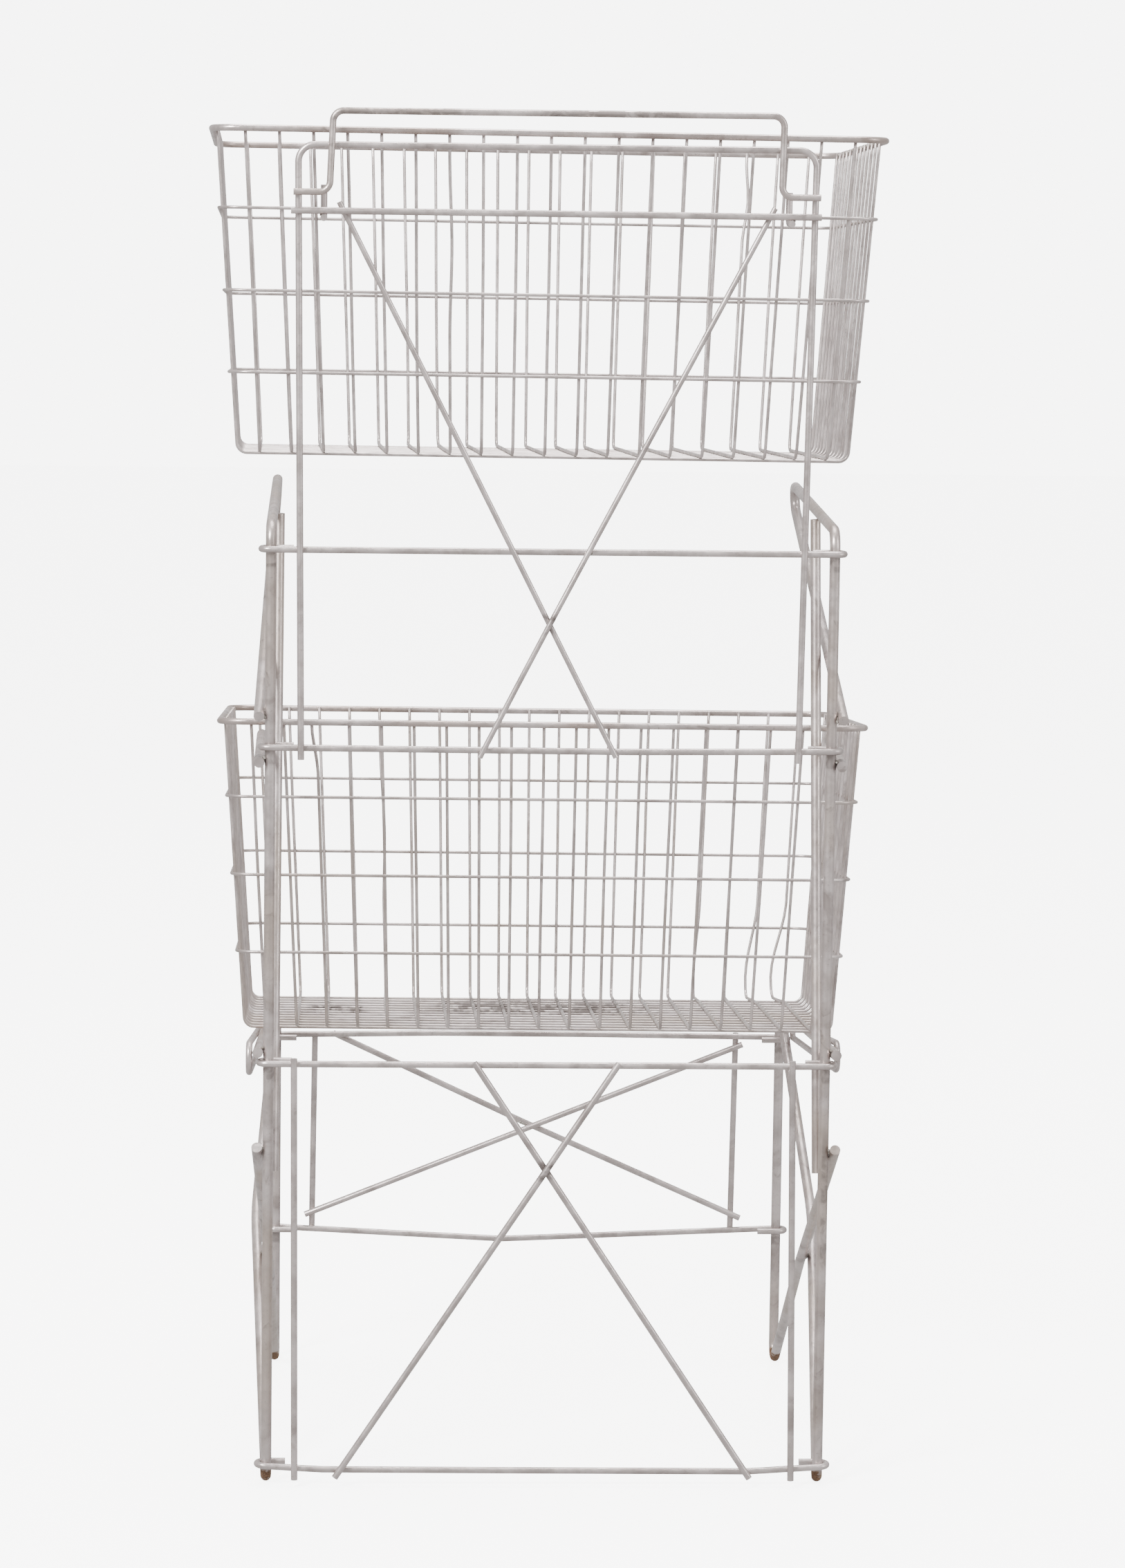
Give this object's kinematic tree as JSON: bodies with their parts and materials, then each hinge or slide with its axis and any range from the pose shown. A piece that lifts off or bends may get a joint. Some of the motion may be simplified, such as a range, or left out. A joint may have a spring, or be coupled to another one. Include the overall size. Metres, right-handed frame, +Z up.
{
  "type": "collapsible wire basket stand",
  "caption": "Folding zinc-plated rod stand with a carrying handle, a wire basket hung at the top of its front panel and another on sloping shelf rods below.",
  "frame": {"origin": "on the floor under the middle of the overall size", "axes": "+Z up, the front panel with the handle faces -Y, +X to the right seen from the front"},
  "size_m": [0.611, 0.5483, 1.2355],
  "materials": {
    "frame_rod": "dull zinc plated",
    "basket_wire": "dull zinc plated"
  },
  "bodies": {
    "front_panel": {"top_hoop": "frame_rod", "handle": "frame_rod", "top_rail": "frame_rod", "upper_rail": "frame_rod", "middle_rail": "frame_rod", "lower_rail": "frame_rod", "foot_rail": "frame_rod", "upper_brace_left": "frame_rod", "upper_brace_right": "frame_rod", "lower_upright_left": "frame_rod", "lower_upright_right": "frame_rod", "lower_brace_left": "frame_rod", "lower_brace_right": "frame_rod", "hook_left": "frame_rod", "hook_right": "frame_rod"},
    "left_side": {"left_frame": "frame_rod", "left_inner_brace": "frame_rod", "left_shelf_rod": "frame_rod", "left_stop_peg": "frame_rod", "left_tie_loop": "frame_rod"},
    "right_side": {"right_frame": "frame_rod", "right_inner_brace": "frame_rod", "right_shelf_rod": "frame_rod", "right_stop_peg": "frame_rod", "right_tie_loop": "frame_rod"},
    "back_panel": {"back_top_rail": "frame_rod", "back_bottom_rail": "frame_rod", "back_upright_left": "frame_rod", "back_upright_right": "frame_rod", "back_brace_left": "frame_rod", "back_brace_right": "frame_rod"},
    "upper_basket": {"upper_basket_rim": "basket_wire", "upper_basket_top_belt": "basket_wire", "upper_basket_middle_belt": "basket_wire", "upper_basket_bottom_belt": "basket_wire", "upper_basket_cross_wires": "basket_wire", "upper_basket_long_wires": "basket_wire"},
    "lower_basket": {"lower_basket_rim": "basket_wire", "lower_basket_top_belt": "basket_wire", "lower_basket_middle_belt": "basket_wire", "lower_basket_bottom_belt": "basket_wire", "lower_basket_cross_wires": "basket_wire", "lower_basket_long_wires": "basket_wire"}
  },
  "joints": [
    {"name": "left_side_fold", "type": "hinge", "parent": "front_panel", "child": "left_side", "pos_m": [-0.243, -0.2507, 0], "axis": [0, 0, -1], "range_deg": [0, 75]},
    {"name": "right_side_fold", "type": "hinge", "parent": "front_panel", "child": "right_side", "pos_m": [0.257, -0.2507, 0], "axis": [0, 0, -1], "range_deg": [0, 75]},
    {"name": "back_panel_fold", "type": "hinge", "parent": "left_side", "child": "back_panel", "pos_m": [-0.243, 0.2263, 0], "axis": [0, 0, -1], "range_deg": [-75, 0]},
    {"name": "lower_basket_slide", "type": "slide", "parent": "front_panel", "child": "lower_basket", "axis": [0, 1, 0], "range_m": [0, 0.42]},
    {"name": "upper_basket_lift", "type": "slide", "parent": "front_panel", "child": "upper_basket", "axis": [0, 0, 1], "range_m": [0, 0.045]}
  ],
  "couplings": [
    {"joint": "right_side_fold", "follows": "left_side_fold", "ratio": 1},
    {"joint": "back_panel_fold", "follows": "left_side_fold", "ratio": -1}
  ]
}
